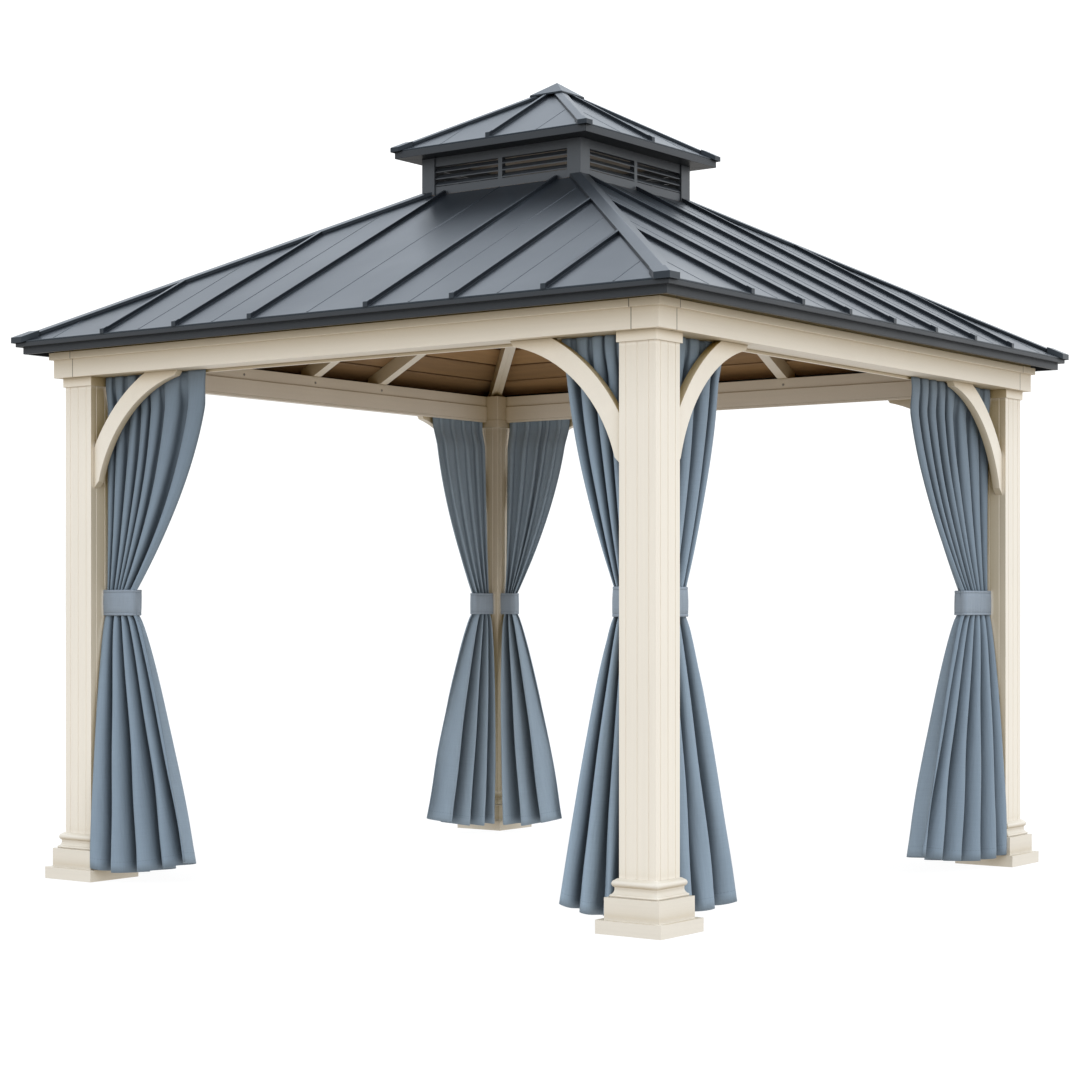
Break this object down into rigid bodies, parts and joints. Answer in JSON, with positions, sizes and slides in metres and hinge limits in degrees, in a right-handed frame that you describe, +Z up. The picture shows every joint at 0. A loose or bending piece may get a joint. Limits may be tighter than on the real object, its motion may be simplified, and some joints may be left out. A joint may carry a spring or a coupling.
{
  "type": "metal gazebo",
  "caption": "Square hardtop garden gazebo with a two-tier ribbed metal roof, louvred cupola, arched braces, moulded post bases and tied-back curtains.",
  "frame": {"origin": "on the ground, under the middle of the square plan", "axes": "+Z up, -Y the front side, +X the right side"},
  "size_m": [3.378, 3.378, 3.5097],
  "materials": {
    "frame_paint": "cream powder coat with a faint wood grain",
    "trim_paint": "charcoal satin powder coat",
    "roof_metal": "slate grey satin coated steel sheet",
    "curtain_cloth": "blue-grey woven polyester",
    "tie_cloth": "blue-grey woven band, a little lighter than the curtains",
    "ceiling_wood": "brown wood-look boards"
  },
  "bodies": {
    "root": {"beam_back": "frame_paint", "beam_corner_blocks": "frame_paint", "beam_front": "frame_paint", "beam_left": "frame_paint", "beam_right": "frame_paint", "braces_back": "frame_paint", "braces_front": "frame_paint", "braces_left": "frame_paint", "braces_right": "frame_paint", "ceiling_linings": "ceiling_wood", "cupola_cap": "roof_metal", "cupola_ceiling": "ceiling_wood", "cupola_curb": "ceiling_wood", "cupola_eave": "trim_paint", "cupola_hip_caps": "roof_metal", "cupola_louvres": "trim_paint", "cupola_posts": "trim_paint", "cupola_roof": "roof_metal", "curtain_back_left": "curtain_cloth", "curtain_back_right": "curtain_cloth", "curtain_front_left": "curtain_cloth", "curtain_front_right": "curtain_cloth", "curtain_left_back": "curtain_cloth", "curtain_left_front": "curtain_cloth", "curtain_rails": "frame_paint", "curtain_right_back": "curtain_cloth", "curtain_right_front": "curtain_cloth", "eave_back": "trim_paint", "eave_front": "trim_paint", "eave_left": "trim_paint", "eave_right": "trim_paint", "hip_caps": "roof_metal", "hip_rafters": "frame_paint", "jack_rafters": "frame_paint", "post_back_left": "frame_paint", "post_back_right": "frame_paint", "post_bases": "frame_paint", "post_collars": "frame_paint", "post_front_left": "frame_paint", "post_front_right": "frame_paint", "roof_back": "roof_metal", "roof_front": "roof_metal", "roof_left": "roof_metal", "roof_right": "roof_metal", "tie_backs": "tie_cloth"}
  },
  "joints": []
}
